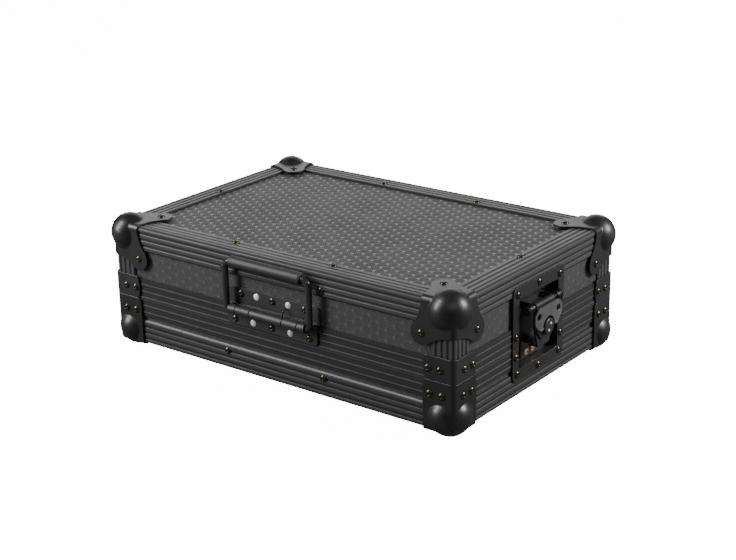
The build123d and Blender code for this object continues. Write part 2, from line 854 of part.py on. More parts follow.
def latch_carrier():
    """Plate curled round the hinge pin, with cheeks that guide the hook and a hole for the spindle."""
    tip = spindle_height - carrier_taper
    shoulder = spindle_height
    points = [
        (-carrier_tip_half, tip),
        (carrier_tip_half, tip),
        (carrier_half, shoulder),
        (carrier_half, latch_pin_height - latch_curl_radius),
        (latch_curl_half, latch_pin_height),
        (-latch_curl_half, latch_pin_height),
        (-carrier_half, latch_pin_height - latch_curl_radius),
        (-carrier_half, shoulder),
    ]
    plate = outline_plate(points, carrier_back, carrier_sheet)
    curl = rod_along_x(latch_curl_radius, -latch_curl_half, latch_curl_half, latch_pin_height, latch_pin_out)
    cheek_low = spindle_height
    cheek_high = latch_pin_height - latch_curl_radius - latch_curl_radius / 2
    cheek = block(carrier_half - carrier_cheek, carrier_half, cheek_low, cheek_high, hook_back, carrier_front)
    shaft = rod_along_z(spindle_shaft_radius + latch_running_gap, 0, spindle_height, 0, carrier_front + 1)
    bore = latch_pin_radius + latch_running_gap
    pin_hole = rod_along_x(bore, -far, far, latch_pin_height, latch_pin_out)
    return plate + curl + mirrored_pair(cheek) - shaft - pin_hole


def latch_hook():
    """Flat hook that slides behind the carrier, with a slot for the crank and a nose at its foot."""
    points = [
        (-hook_foot_half, hook_bottom),
        (hook_foot_half, hook_bottom),
        (hook_half, hook_taper_top),
        (hook_half, hook_top),
        (-hook_half, hook_top),
        (-hook_half, hook_taper_top),
    ]
    plate = outline_plate(points, hook_back, hook_sheet)
    nose_top = hook_bottom + hook_nose
    nose = block(-hook_foot_half, hook_foot_half, hook_bottom, nose_top, hook_nose_in, hook_front)
    half_width = crank_throw + crank_pin_radius + crank_slot_play
    half_height = crank_pin_radius + crank_slot_play
    middle = spindle_height + crank_throw
    slot = block(-half_width, half_width, middle - half_height, middle + half_height, 0, far)
    return plate + nose - slot


def latch_spindle():
    """Domed spindle with its shaft, crank pin and disc, and the trunnions that carry the wing."""
    low = carrier_front + hook_gap
    high = low + spindle_rise
    y = spindle_height
    head = rod_along_z(spindle_radius, 0, y, low, high)
    head = fillet(head.edges().group_by(Axis.Z)[-1], spindle_edge)
    shaft_end = carrier_back - hook_gap / 2
    shaft = rod_along_z(spindle_shaft_radius, 0, y, shaft_end, low)
    disc_top = hook_back - hook_gap
    pin = rod_along_z(crank_pin_radius, 0, y + crank_throw, disc_top, shaft_end)
    disc = rod_along_z(crank_disc_radius, 0, y, disc_top - crank_disc_sheet, disc_top)
    trunnions = rod_along_x(trunnion_radius, -wing_lobe_half, wing_lobe_half, y, wing_hinge_out)
    body = head + shaft + pin + disc + trunnions
    lean = stud_offset / 2
    rise = stud_offset * math.sqrt(3) / 2
    for side in (-1, 1):
        body = body + rod_along_z(stud_radius, side * lean, y + side * rise, high - 1, high + stud_height)
    return body


def latch_wing():
    """Folding wing with an arch round the spindle's head and two knuckles on its trunnions."""
    y = spindle_height
    low = y - wing_drop
    foot = math.sqrt(wing_arch_radius**2 - wing_drop**2)
    high = y + wing_rise
    shoulder = high - wing_shoulder
    edges = Polyline(
        (foot, low),
        (wing_lobe_half, low),
        (wing_half, y + wing_flank_low),
        (wing_half, shoulder),
        (wing_half - wing_shoulder, high),
        (wing_shoulder - wing_half, high),
        (-wing_half, shoulder),
        (-wing_half, y + wing_flank_low),
        (-wing_lobe_half, low),
        (-foot, low),
    )
    edges += ThreePointArc((-foot, low), (0, y + wing_arch_radius), (foot, low))
    outline = make_face(edges)
    corners = outline.vertices().filter_by(lambda v: abs(v.X) > wing_half - wing_shoulder - 0.1)
    outline = fillet(corners, wing_corner)
    for side in (-1, 1):
        outline = outline - Pos(side * wing_hole_half, y + wing_hole_rise) * Circle(wing_hole_radius)
    plate = Pos(0, 0, wing_out) * extrude(outline, amount=wing_sheet)
    inner = wing_arch_radius + latch_running_gap
    knuckle = rod_along_x(knuckle_radius, inner, wing_lobe_half, y, wing_hinge_out)
    bore = rod_along_x(trunnion_radius + latch_running_gap, -far, far, y, wing_hinge_out)
    return plate + mirrored_pair(knuckle) - bore


def handle_plate():
    """Bent back plate of the handle with its curled barrel in five knuckles."""
    jog_low = lid_post_bottom + handle_jog_gap
    jog_high = jog_low + handle_sheet
    half_low = handle_lower_half
    lower = block(-half_low, half_low, handle_lower_edge, jog_high, 0, handle_sheet)
    lower = fillet(lower.edges().filter_by(Axis.Z).group_by(Axis.Y)[0], handle_corner_radius)
    jog = block(-half_low, half_low, jog_low, jog_high, -rail_thickness, handle_sheet)
    half_high = handle_upper_half
    upper = block(-half_high, half_high, jog_low, handle_upper_edge, -rail_thickness, upper_seat)
    upper = fillet(upper.edges().filter_by(Axis.Z).group_by(Axis.Y)[-1], handle_corner_radius)
    slit = barrel_slit / 2
    knuckles = knuckle_length(-barrel_slit_near + slit, barrel_slit_near - slit)
    opening = block(-far, far, handle_pivot_height, far, handle_sheet, handle_pivot_out)
    knuckles = knuckles - opening
    for low, high in ((barrel_slit_near, barrel_slit_far), (barrel_slit_far, barrel_half + slit)):
        knuckles = knuckles + mirrored_pair(knuckle_length(low + slit, high - slit))
    return lower + jog + upper + knuckles


def knuckle_length(x0, x1):
    """One length of the barrel with the strip that joins it to the plate."""
    y = handle_pivot_height
    z = handle_pivot_out
    tube = rod_along_x(barrel_radius, x0, x1, y, z)
    wall = barrel_radius - bail_wire_radius - bail_running_gap
    strip = block(x0, x1, y - barrel_radius, y - barrel_radius + wall, 0, z)
    return tube + strip - rod_along_x(barrel_radius - wall, -far, far, y, z)


def handle_bail():
    """Round wire bail whose ends turn in to the barrel, drilled at one end for the spring's tail."""
    path = FilletPolyline(
        (-bail_pin_end, 0),
        (-bail_half_width, 0),
        (-bail_half_width, bail_rise),
        (bail_half_width, bail_rise),
        (bail_half_width, 0),
        (bail_pin_end, 0),
        radius=[bail_low_bend, bail_high_bend, bail_high_bend, bail_low_bend],
    )
    section = Plane(origin=(-bail_pin_end, 0, 0), z_dir=(-1, 0, 0)) * Circle(bail_wire_radius)
    wire = sweep(section, path=path)
    hole_end = bail_pin_end + spring_tail_depth + 1
    hole = rod_along_x(handle_spring_wire / 2 + latch_running_gap, -hole_end, -bail_pin_end + 1, 0, 0)
    return Pos(0, handle_pivot_height, handle_pivot_out) * (wire - hole)


def handle_grip():
    """Smooth moulded tube on the bail."""
    y = handle_pivot_height + bail_rise
    z = handle_pivot_out
    tube = rod_along_x(grip_radius, -grip_half, grip_half, y, z)
    tube = fillet(tube.edges().filter_by(GeomType.CIRCLE), grip_end_round)
    return tube - rod_along_x(bail_wire_radius + grip_bore_gap, -far, far, y, z)


def handle_spring():
    """Return spring in the middle of the barrel: one tail in the bail, one hook over the plate."""
    bore = bail_wire_radius + bail_running_gap
    radius = bore - handle_spring_side_gap - handle_spring_wire / 2
    pitch = handle_spring_pitch
    first_turn = 0.25
    last_turn = first_turn + handle_spring_turns
    centre = pitch * (first_turn + last_turn) / 2
    shift = Vector(-centre, 0, 0)
    coil = [edge.moved(Location(shift)) for edge in coil_edges(radius, pitch, first_turn, last_turn, 0.5)]
    first, first_way = coil_point(radius, pitch, first_turn)
    last, last_way = coil_point(radius, pitch, last_turn)
    first += shift
    last += shift
    axis_way = Vector(1, 0, 0)
    neck = Vector(first.X - handle_spring_neck, 0, 0)
    tail_end = Vector(-bail_pin_end - spring_tail_depth, 0, 0)
    rise = handle_upper_rise - handle_spring_hook_inset - handle_spring_bend
    bend_start = last + last_way * rise
    inward = Vector(0, 0, -1)
    bend_end = bend_start + (last_way + inward) * handle_spring_bend
    seat = Vector(bend_end.X, bend_end.Y, upper_seat - handle_pivot_out)
    edges = [Line(tail_end, neck)] + biarc(neck, axis_way, first, first_way) + coil
    edges.append(Line(last, bend_start))
    edges.append(TangentArc(bend_start, bend_end, tangent=last_way))
    edges.append(Line(bend_end, seat))
    least_gap("handle spring", edges, handle_spring_wire, 2 * math.pi * radius)
    return Pos(0, handle_pivot_height, handle_pivot_out) * wire_solid(edges, handle_spring_wire)


def lining(low, high, floor_low, floor_high):
    """Foam tray or lid lining: a block hollowed from its open side."""
    half_x = half_length - dish_depth - dish_sheet - foam_gap
    half_y = half_depth - closing_depth - foam_gap
    outside = block(-half_x, half_x, -half_y, half_y, low, high)
    inside_x = half_x - foam_wall
    inside_y = half_y - foam_wall
    return outside - block(-inside_x, inside_x, -inside_y, inside_y, floor_low, floor_high)


def base_parts(trim):
    """Every node that belongs to the base."""
    holes = holes_for(base_rivet_places(), inner_face)
    keeper_holes = holes_for(keeper_rivet_places(), dish_depth + dish_sheet)
    parts = {}
    outer_x = half_length - rail_thickness
    outer_y = half_depth - rail_thickness
    inner_y = outer_y - panel_thickness
    low = rail_thickness + panel_thickness
    high = seam_height - base_web
    opening = dish_opening(dish_pan_bottom - dish_sheet - dish_cut_gap, seam_height + 1)
    parts["base_floor_panel"] = block(-outer_x, outer_x, -outer_y, outer_y, rail_thickness, low)
    long_panel = block(-outer_x, outer_x, -outer_y, -inner_y, low, high)
    side_panel = block(outer_x - panel_thickness, outer_x, -inner_y, inner_y, low, high) - opening
    parts["base_front_panel"] = long_panel
    parts["base_back_panel"] = long_panel.mirror(Plane.XZ)
    parts["base_right_panel"] = side_panel
    parts["base_left_panel"] = side_panel.mirror(Plane.YZ)
    edge = four_sides(bottom_edge_rail, trim)
    parts["base_edge_rail_front"] = edge["front"]
    parts["base_edge_rail_back"] = edge["back"]
    parts["base_edge_rails_side"] = edge["left"] + edge["right"]
    closing = four_sides(base_closing_rail, trim)
    parts["base_closing_rail_front"] = closing["front"]
    parts["base_closing_rail_back"] = closing["back"]
    parts["base_closing_rails_side"] = (closing["left"] + closing["right"]) - opening
    for name, shape in zip(corner_names, in_four_corners(foot_corner())):
        parts[f"base_foot_corner_{name}"] = shape
    for side, plane in (("right", right), ("left", left)):
        parts[f"latch_dish_lower_{side}"] = on(plane, lower_dish())
    parts = {name: drilled(shape, holes) for name, shape in parts.items()}
    for side, plane in (("right", right), ("left", left)):
        parts[f"latch_dish_lower_{side}"] = drilled(parts[f"latch_dish_lower_{side}"], keeper_holes)
    parts["latch_keepers"] = [drilled(on(plane, keeper()), keeper_holes) for plane in (right, left)]
    keeper_grip = keeper_sheet + dish_sheet
    parts["keeper_rivets"] = set_at(keeper_rivet_places(), lambda seat: rivet(keeper_grip, keeper_rivet_head))
    parts["base_rivets"] = set_at(base_rivet_places(), panel_rivet)
    foam_low = low + foam_gap
    parts["base_foam_tray"] = lining(foam_low, seam_height - foam_gap, foam_low + foam_floor, seam_height)
    return parts


def lid_parts(trim):
    """Every node that belongs to the lid, apart from the moving latch and handle pieces."""
    black_places = lid_rivet_places()
    holes = holes_for(black_places + handle_bolt_places(), inner_face)
    parts = {}
    outer_x = half_length - rail_thickness
    outer_y = half_depth - rail_thickness
    inner_y = outer_y - panel_thickness
    low = lid_bottom + closing_web
    high = case_height - rail_thickness - panel_thickness
    opening = dish_opening(seam_height - tongue_height - 1, dish_pan_top + dish_sheet + dish_cut_gap)
    parts["lid_top_panel"] = block(-outer_x, outer_x, -outer_y, outer_y, high, high + panel_thickness)
    long_panel = block(-outer_x, outer_x, -outer_y, -inner_y, low, high)
    side_panel = block(outer_x - panel_thickness, outer_x, -inner_y, inner_y, low, high) - opening
    parts["lid_front_panel"] = long_panel
    parts["lid_back_panel"] = long_panel.mirror(Plane.XZ)
    parts["lid_right_panel"] = side_panel
    parts["lid_left_panel"] = side_panel.mirror(Plane.YZ)
    edge = four_sides(top_edge_rail, trim)
    parts["lid_edge_rail_front"] = edge["front"]
    parts["lid_edge_rail_back"] = edge["back"]
    parts["lid_edge_rails_side"] = edge["left"] + edge["right"]
    closing = four_sides(lid_closing_rail, trim)
    parts["lid_closing_rail_front"] = closing["front"]
    parts["lid_closing_rail_back"] = closing["back"]
    parts["lid_closing_rails_side"] = (closing["left"] + closing["right"]) - opening
    for name, shape in zip(corner_names, in_four_corners(top_corner())):
        parts[f"lid_ball_corner_{name}"] = shape
    parts["handle_back_plate"] = on(front, handle_plate())
    for side, plane in (("right", right), ("left", left)):
        parts[f"latch_dish_upper_{side}"] = on(plane, upper_dish())
    parts = {name: drilled(shape, holes) for name, shape in parts.items()}
    parts["lid_braces"] = [drilled(shape, holes) for shape in in_four_corners(brace())]
    parts["lid_corner_posts"] = [drilled(shape, holes) for shape in corner_posts()]
    parts["lid_rivets"] = set_at(black_places, panel_rivet)
    parts["handle_bolts"] = set_at(handle_bolt_places(), lambda seat: bolt(seat_depth(seat)))
    foam_top = high - foam_gap
    parts["lid_foam_lining"] = lining(lid_bottom, foam_top, seam_height, foam_top - foam_lid)
    return parts


def moving_parts():
    """The handle's and the latches' pieces."""
    parts = {
        "handle_bail": on(front, handle_bail()),
        "handle_grip": on(front, handle_grip()),
        "handle_spring": on(front, handle_spring()),
    }
    spring = latch_spring()
    springs = [spring, spring.mirror(Plane.YZ)]
    pieces = {
        "latch_bracket": [bracket(), bracket_pin()],
        "latch_springs": springs,
        "latch_carrier": [latch_carrier()],
        "latch_hook": [latch_hook()],
        "latch_spindle": [latch_spindle()],
        "latch_wing": [latch_wing()],
    }
    for side, plane in (("right", right), ("left", left)):
        for name, solids in pieces.items():
            parts[f"{name}_{side}"] = [on(plane, solid) for solid in solids]
    return parts


def export_all(parts):
    """Writes each node to its own file, standing on the floor and centred."""
    os.makedirs("parts", exist_ok=True)
    place = Location((0, case_shift, case_lift))
    for name, shape in parts.items():
        solids = []
        for piece in shape if isinstance(shape, list) else [shape]:
            solids += piece.moved(place).solids()
        body = solids[0] if len(solids) == 1 else Compound(children=solids)
        export_step(body, f"parts/{name}.step")


rounded_case = case_block()
export_all({**base_parts(rounded_case), **lid_parts(rounded_case), **moving_parts()})
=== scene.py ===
import bpy
import bmesh
import json
import math
from mathutils import Matrix, Vector

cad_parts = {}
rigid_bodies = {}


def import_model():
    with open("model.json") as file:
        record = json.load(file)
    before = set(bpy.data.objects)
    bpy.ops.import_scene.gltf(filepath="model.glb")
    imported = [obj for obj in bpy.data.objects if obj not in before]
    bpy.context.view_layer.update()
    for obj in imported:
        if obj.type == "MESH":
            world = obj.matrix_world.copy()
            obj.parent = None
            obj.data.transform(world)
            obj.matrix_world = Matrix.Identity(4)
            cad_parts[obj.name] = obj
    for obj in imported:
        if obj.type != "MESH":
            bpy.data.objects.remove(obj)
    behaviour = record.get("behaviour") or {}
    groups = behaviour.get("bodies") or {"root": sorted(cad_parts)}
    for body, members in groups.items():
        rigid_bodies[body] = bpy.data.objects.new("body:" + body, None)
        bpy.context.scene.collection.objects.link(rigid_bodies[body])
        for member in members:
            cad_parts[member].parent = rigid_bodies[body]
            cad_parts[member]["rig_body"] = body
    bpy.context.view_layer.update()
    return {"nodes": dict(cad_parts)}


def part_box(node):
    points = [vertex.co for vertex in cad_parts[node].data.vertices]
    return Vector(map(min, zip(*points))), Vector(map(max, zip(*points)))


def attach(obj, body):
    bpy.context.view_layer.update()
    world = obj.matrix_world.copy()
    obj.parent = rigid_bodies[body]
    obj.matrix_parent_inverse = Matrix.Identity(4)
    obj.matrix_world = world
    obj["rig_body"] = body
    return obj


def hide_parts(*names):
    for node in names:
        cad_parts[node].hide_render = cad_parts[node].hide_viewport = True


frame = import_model()

# ---------------------------------------------------------------- photographer's corner
# A paper sweep in a pale room, both pure white to the camera. A tall soft box stands in front
# at the left, one behind at the right and a wide one at the back, with a weak fill in front.
# None of it belongs to the object.

def flat_grid(name, x0, x1, y0, y1, z):
    """A plain rectangle at one height."""
    mesh = bpy.data.meshes.new(name)
    mesh.from_pydata([(x0, y0, z), (x1, y0, z), (x1, y1, z), (x0, y1, z)], [], [(0, 1, 2, 3)])
    sheet = bpy.data.objects.new(name, mesh)
    bpy.context.scene.collection.objects.link(sheet)
    return sheet


def new_material(name):
    """An empty node material with its Principled shader and output."""
    material = bpy.data.materials.new(name)
    material.use_nodes = True
    tree = material.node_tree
    shader = tree.nodes["Principled BSDF"]
    return material, tree, shader


def add(tree, kind, **settings):
    """A node with its properties set, or its input sockets where the name is a socket's."""
    node = tree.nodes.new(kind)
    for key, value in settings.items():
        if hasattr(node, key):
            setattr(node, key, value)
        else:
            node.inputs[key.replace("_", " ")].default_value = value
    return node


# The paper and the room glow to the camera and are dim to every other ray, so that the black
# metal takes its light from the lamps and not from the floor.
paper_glow, room_glow = 14.0, 16.0
paper_bounce, paper_white = 0.14, 0.88
room_dim, room_bright = 0.012, 0.080
brightest_way = (-0.30, 0.70, 0.64)

sweep = flat_grid("sweep", -9, 9, -9, 9, 0.0)
paper, paper_tree, paper_shader = new_material("white_paper")
paper_sight = add(paper_tree, "ShaderNodeLightPath")
paper_seen = add(paper_tree, "ShaderNodeMapRange", To_Min=paper_bounce, To_Max=paper_white)
paper_power = add(paper_tree, "ShaderNodeMath", operation="MULTIPLY")
paper_power.inputs[1].default_value = paper_glow
paper_tree.links.new(paper_sight.outputs["Is Camera Ray"], paper_seen.inputs["Value"])
paper_tree.links.new(paper_seen.outputs["Result"], paper_shader.inputs["Base Color"])
paper_tree.links.new(paper_sight.outputs["Is Camera Ray"], paper_power.inputs[0])
paper_tree.links.new(paper_power.outputs[0], paper_shader.inputs["Emission Strength"])
paper_shader.inputs["Emission Color"].default_value = (1.0, 1.0, 1.0, 1.0)
paper_shader.inputs["Roughness"].default_value = 0.9
sweep.data.materials.append(paper)

room = bpy.data.worlds.new("studio")
room.use_nodes = True
room_tree = room.node_tree
room_back = room_tree.nodes["Background"]
room_way = add(room_tree, "ShaderNodeTexCoord")
room_lean = add(room_tree, "ShaderNodeVectorMath", operation="DOT_PRODUCT")
room_lean.inputs[1].default_value = brightest_way
room_light = add(room_tree, "ShaderNodeMapRange",
                 From_Max=0.95, To_Min=room_dim, To_Max=room_bright)
room_sight = add(room_tree, "ShaderNodeLightPath")
room_seen = add(room_tree, "ShaderNodeMath", operation="MULTIPLY_ADD")
room_seen.inputs[1].default_value = room_glow
room_back.inputs["Color"].default_value = (1.0, 1.0, 1.0, 1.0)
room_tree.links.new(room_way.outputs["Generated"], room_lean.inputs[0])
room_tree.links.new(room_lean.outputs["Value"], room_light.inputs["Value"])
room_tree.links.new(room_sight.outputs["Is Camera Ray"], room_seen.inputs[0])
room_tree.links.new(room_light.outputs["Result"], room_seen.inputs[2])
room_tree.links.new(room_seen.outputs[0], room_back.inputs["Strength"])
bpy.context.scene.world = room

case_heart = Vector((0.0, 0.0, 0.1))


def soft_box(name, place, width, height, watts):
    """A rectangular lamp that faces the case."""
    lamp = bpy.data.lights.new(name, "AREA")
    lamp.shape = "RECTANGLE"
    lamp.size, lamp.size_y = width, height
    lamp.energy = watts
    holder = bpy.data.objects.new(name, lamp)
    holder.location = place
    holder.rotation_euler = (case_heart - Vector(place)).to_track_quat("-Z", "Y").to_euler()
    bpy.context.scene.collection.objects.link(holder)


soft_box("tall_left_box", (-1.36, -1.40, 1.15), 0.7, 1.7, 66)
soft_box("right_back_box", (1.95, 1.05, 1.20), 0.8, 0.9, 78)
soft_box("back_wall", (-1.70, 2.30, 1.25), 3.2, 1.4, 26)
soft_box("front_fill", (2.0, -2.0, 2.2), 2.4, 1.6, 16)

lens = bpy.data.cameras.new("camera")
lens.lens = 76.35
lens.sensor_width = 36.0
lens.shift_x = -0.00095
lens.clip_start, lens.clip_end = 0.05, 60.0
camera = bpy.data.objects.new("camera", lens)
looks_right = Vector((0.79506, 0.60622, -0.01907))
looks_up = Vector((-0.19314, 0.28284, 0.93951))
looks_back = Vector((0.57495, -0.74329, 0.34197))
turn = Matrix((looks_right, looks_up, looks_back)).transposed()
camera.matrix_world = Matrix.Translation((1.1667, -1.4905, 0.7791)) @ turn.to_4x4()
bpy.context.scene.collection.objects.link(camera)
bpy.context.scene.camera = camera


# ---------------------------------------------------------------- laminated plywood panels
# Seven millimetre birch ply faced with a black phenolic film. The film is embossed with a low
# honeycomb, a raised point where three cells meet, and a fine diagonal hatch. The points and
# cell rims are painted paler, far more on the level panels than on the walls: partly their own
# pale tone, partly a painted glint for the light the raised points and rims catch. Each panel
# slides into the rails around it.

def new_group(name, inputs, outputs):
    """A shader node group with float or vector sockets, ready to be filled."""
    group = bpy.data.node_groups.new(name, "ShaderNodeTree")
    kinds = {"f": "NodeSocketFloat", "v": "NodeSocketVector"}
    for socket, kind, value in inputs:
        made = group.interface.new_socket(name=socket, in_out="INPUT", socket_type=kinds[kind])
        if value is not None:
            made.default_value = value
    for socket in outputs:
        group.interface.new_socket(name=socket, in_out="OUTPUT", socket_type="NodeSocketFloat")
    return group, group.nodes.new("NodeGroupInput"), group.nodes.new("NodeGroupOutput")


def feed(tree, node, slot, source):
    """Links a socket, or sets a plain value, on one input."""
    target = node.inputs[slot]
    if isinstance(source, bpy.types.NodeSocket):
        tree.links.new(source, target)
    else:
        target.default_value = source


def math_node(tree, operation, first, second=None, third=None):
    """One Math node and its result."""
    node = tree.nodes.new("ShaderNodeMath")
    node.operation = operation
    for slot, value in enumerate((first, second, third)):
        if value is not None:
            feed(tree, node, slot, value)
    return node.outputs[0]


def vector_node(tree, operation, first, second=None):
    """One Vector Math node, returned whole because some give a vector and some a value."""
    node = tree.nodes.new("ShaderNodeVectorMath")
    node.operation = operation
    feed(tree, node, 0, first)
    if second is not None:
        feed(tree, node, 1, second)
    return node


def ramp(tree, value, low, high):
    """Smooth step of a value, from 0 at the first limit to 1 at the second."""
    node = tree.nodes.new("ShaderNodeMapRange")
    node.interpolation_type = "SMOOTHSTEP"
    for slot, item in enumerate((value, low, high)):
        feed(tree, node, slot, item)
    return node.outputs["Result"]


def blend_colour(tree, share, first, second):
    """Mixes two colours by a mask."""
    node = tree.nodes.new("ShaderNodeMix")
    node.data_type = "RGBA"
    feed(tree, node, "Factor", share)
    for slot, colour in ((6, first), (7, second)):
        feed(tree, node, slot, colour)
    return node.outputs[2]


def tint(tree, mask, strength, first, second):
    """Mixes a second colour in where a mask shows, by no more than its strength."""
    return blend_colour(tree, math_node(tree, "MULTIPLY", mask, strength), first, second)


def place_group(tree, group, **inputs):
    """A copy of a shared group in a material, with its values."""
    node = tree.nodes.new("ShaderNodeGroup")
    node.node_tree = group
    for key, value in inputs.items():
        feed(tree, node, key.replace("_", " "), value)
    return node


def object_vector(tree, turn=(0.0, 0.0, 0.0)):
    """Object coordinates, turned."""
    coordinates = tree.nodes.new("ShaderNodeTexCoord")
    mapping = tree.nodes.new("ShaderNodeMapping")
    mapping.inputs["Rotation"].default_value = turn
    tree.links.new(coordinates.outputs["Object"], mapping.inputs["Vector"])
    return mapping.outputs["Vector"]


def bump(tree, shader, height, distance, strength):
    """Sends a height to the shader's normal."""
    node = add(tree, "ShaderNodeBump", Strength=strength, Distance=distance)
    tree.links.new(height, node.inputs["Height"])
    tree.links.new(node.outputs["Normal"], shader.inputs["Normal"])


# Nearest point of a triangular lattice: how far it is, and how near the honeycomb rim is.
cell_pitch = 0.0136
root_three = math.sqrt(3)
lattice = (root_three, 1.0, 1.0)
half_lattice = (root_three / 2, 0.5, 0.5)
cells_away = 300  # a shift by whole cells, so that no coordinate is negative
honeycomb, hive_in, hive_out = new_group(
    "honeycomb", [("Vector", "v", None), ("Pitch", "f", cell_pitch)], ["Distance", "Rim"])
hive_pitch = honeycomb.nodes.new("ShaderNodeCombineXYZ")
for hive_slot in range(3):
    honeycomb.links.new(hive_in.outputs["Pitch"], hive_pitch.inputs[hive_slot])
hive_scaled = vector_node(honeycomb, "DIVIDE", hive_in.outputs["Vector"], hive_pitch.outputs[0])
hive_flat = vector_node(honeycomb, "MULTIPLY", hive_scaled.outputs[0], (1, 1, 0))
hive_far = vector_node(honeycomb, "ADD", hive_flat.outputs[0],
                       (cells_away * root_three, cells_away, 0.5))
hive_one = vector_node(honeycomb, "MODULO", hive_far.outputs[0], lattice)
hive_one = vector_node(honeycomb, "SUBTRACT", hive_one.outputs[0], half_lattice)
hive_two = vector_node(honeycomb, "ADD", hive_far.outputs[0], half_lattice)
hive_two = vector_node(honeycomb, "MULTIPLY", hive_two.outputs[0], (1, 1, 0))
hive_two = vector_node(honeycomb, "MODULO", hive_two.outputs[0], lattice)
hive_two = vector_node(honeycomb, "SUBTRACT", hive_two.outputs[0], (root_three / 2, 0.5, 0))
hive_one = vector_node(honeycomb, "MULTIPLY", hive_one.outputs[0], (1, 1, 0))
one_length = vector_node(honeycomb, "LENGTH", hive_one.outputs[0]).outputs["Value"]
two_length = vector_node(honeycomb, "LENGTH", hive_two.outputs[0]).outputs["Value"]
nearer = math_node(honeycomb, "LESS_THAN", one_length, two_length)
hive_pick = honeycomb.nodes.new("ShaderNodeMix")
hive_pick.data_type = "VECTOR"
honeycomb.links.new(nearer, hive_pick.inputs["Factor"])
honeycomb.links.new(hive_two.outputs[0], hive_pick.inputs[4])
honeycomb.links.new(hive_one.outputs[0], hive_pick.inputs[5])
hive_size = vector_node(honeycomb, "ABSOLUTE", hive_pick.outputs[1])
hive_slant = vector_node(honeycomb, "DOT_PRODUCT", hive_size.outputs[0], (root_three / 2, 0.5, 0))
hive_parts = honeycomb.nodes.new("ShaderNodeSeparateXYZ")
honeycomb.links.new(hive_size.outputs[0], hive_parts.inputs[0])
hive_rim = math_node(honeycomb, "MAXIMUM", hive_parts.outputs["Y"], hive_slant.outputs["Value"])
hive_nearest = math_node(honeycomb, "MINIMUM", one_length, two_length)
honeycomb.links.new(hive_nearest, hive_out.inputs["Distance"])
honeycomb.links.new(hive_rim, hive_out.inputs["Rim"])

# Handling marks: broad smudges, fine dust specks and short scratches, for every finish.
marks, marks_in, marks_out = new_group(
    "handling_marks", [("Vector", "v", None), ("Speck Size", "f", 900.0)],
    ["Smudge", "Specks", "Scratches"])
smudge = add(marks, "ShaderNodeTexNoise", Scale=14.0, Detail=5.0, Roughness=0.6)
speck = add(marks, "ShaderNodeTexNoise", Detail=1.0)
scratch = add(marks, "ShaderNodeTexNoise", Scale=60.0, Detail=2.0, Distortion=0.4)
scratch_stretch = vector_node(marks, "MULTIPLY", marks_in.outputs["Vector"], (1.0, 14.0, 5.0))
marks.links.new(marks_in.outputs["Vector"], smudge.inputs["Vector"])
marks.links.new(marks_in.outputs["Vector"], speck.inputs["Vector"])
marks.links.new(marks_in.outputs["Speck Size"], speck.inputs["Scale"])
marks.links.new(scratch_stretch.outputs[0], scratch.inputs["Vector"])
marks.links.new(ramp(marks, smudge.outputs["Fac"], 0.35, 0.7), marks_out.inputs["Smudge"])
marks.links.new(ramp(marks, speck.outputs["Fac"], 0.69, 0.76), marks_out.inputs["Specks"])
marks.links.new(ramp(marks, scratch.outputs["Fac"], 0.7, 0.74), marks_out.inputs["Scratches"])

film_dark = (0.019, 0.0188, 0.0187, 1)
film_rib = (0.058, 0.0572, 0.0570, 1)
pale_point_and_glint = (0.24, 0.238, 0.236, 1)
film_emboss = 0.0004
# The pale rims and points are painted far fainter on the walls than on the level panels; the extra
# paleness on the level panels is painted glint.
wall_cells = 0.15  # how much of the honeycomb shows on the walls, beside 1.0 on the level panels


def laminate(name, turn, shown):
    """Black embossed film, its honeycomb laid in the plane that the turn brings level.

    shown says how strongly the cells and points stand out from the hatch, from 0 to 1; it scales
    their paler colour, which is partly a painted glint, as well as their emboss.
    """
    material, tree, shader = new_material(name)
    flat = object_vector(tree, turn)
    cells = place_group(tree, honeycomb, Vector=flat, Pitch=cell_pitch)
    shifted = vector_node(tree, "ADD", flat, (cell_pitch / root_three, 0, 0)).outputs[0]
    corners = place_group(tree, honeycomb, Vector=shifted, Pitch=cell_pitch)
    rib = ramp(tree, cells.outputs["Rim"], 0.40, 0.47)
    point = ramp(tree, corners.outputs["Distance"], 0.19, 0.09)
    hatch = add(tree, "ShaderNodeTexWave", Scale=200.0, Distortion=0.4, Detail=1.0)
    hatch.bands_direction = "DIAGONAL"
    tree.links.new(flat, hatch.inputs["Vector"])
    thread = ramp(tree, hatch.outputs["Fac"], 0.35, 0.8)
    worn = place_group(tree, marks, Vector=flat, Speck_Size=1400.0)
    lift = math_node(tree, "MULTIPLY", rib, 0.2 + 0.8 * shown)
    lift = math_node(tree, "MULTIPLY_ADD", point, 0.9 * shown, lift)
    lift = math_node(tree, "MULTIPLY_ADD", thread, 0.35, lift)
    # Rims and points are painted paler where shown is high: partly the film's own tone, partly
    # painted glint.
    colour = tint(tree, rib, 0.22 + 0.53 * shown, film_dark, film_rib)
    colour = tint(tree, thread, 0.95 - 0.5 * shown, colour, film_rib)
    colour = tint(tree, point, 0.8 * shown, colour, pale_point_and_glint)
    colour = tint(tree, worn.outputs["Specks"], 0.5, colour, pale_point_and_glint)
    tree.links.new(colour, shader.inputs["Base Color"])
    rough = math_node(tree, "MULTIPLY_ADD", worn.outputs["Smudge"], 0.08, 0.62)
    rough = math_node(tree, "MULTIPLY_ADD", rib, -0.10, rough)
    rough = math_node(tree, "MULTIPLY_ADD", thread, -0.08, rough)
    rough = math_node(tree, "MULTIPLY_ADD", point, -0.26 * shown, rough)
    tree.links.new(rough, shader.inputs["Roughness"])
    shader.inputs["Specular IOR Level"].default_value = 0.55
    bump(tree, shader, lift, film_emboss, 0.8)
    return material


def dress(material, *names):
    """Gives CAD nodes one finish."""
    for name in names:
        slots = frame["nodes"][name].data.materials
        slots.clear()
        slots.append(material)


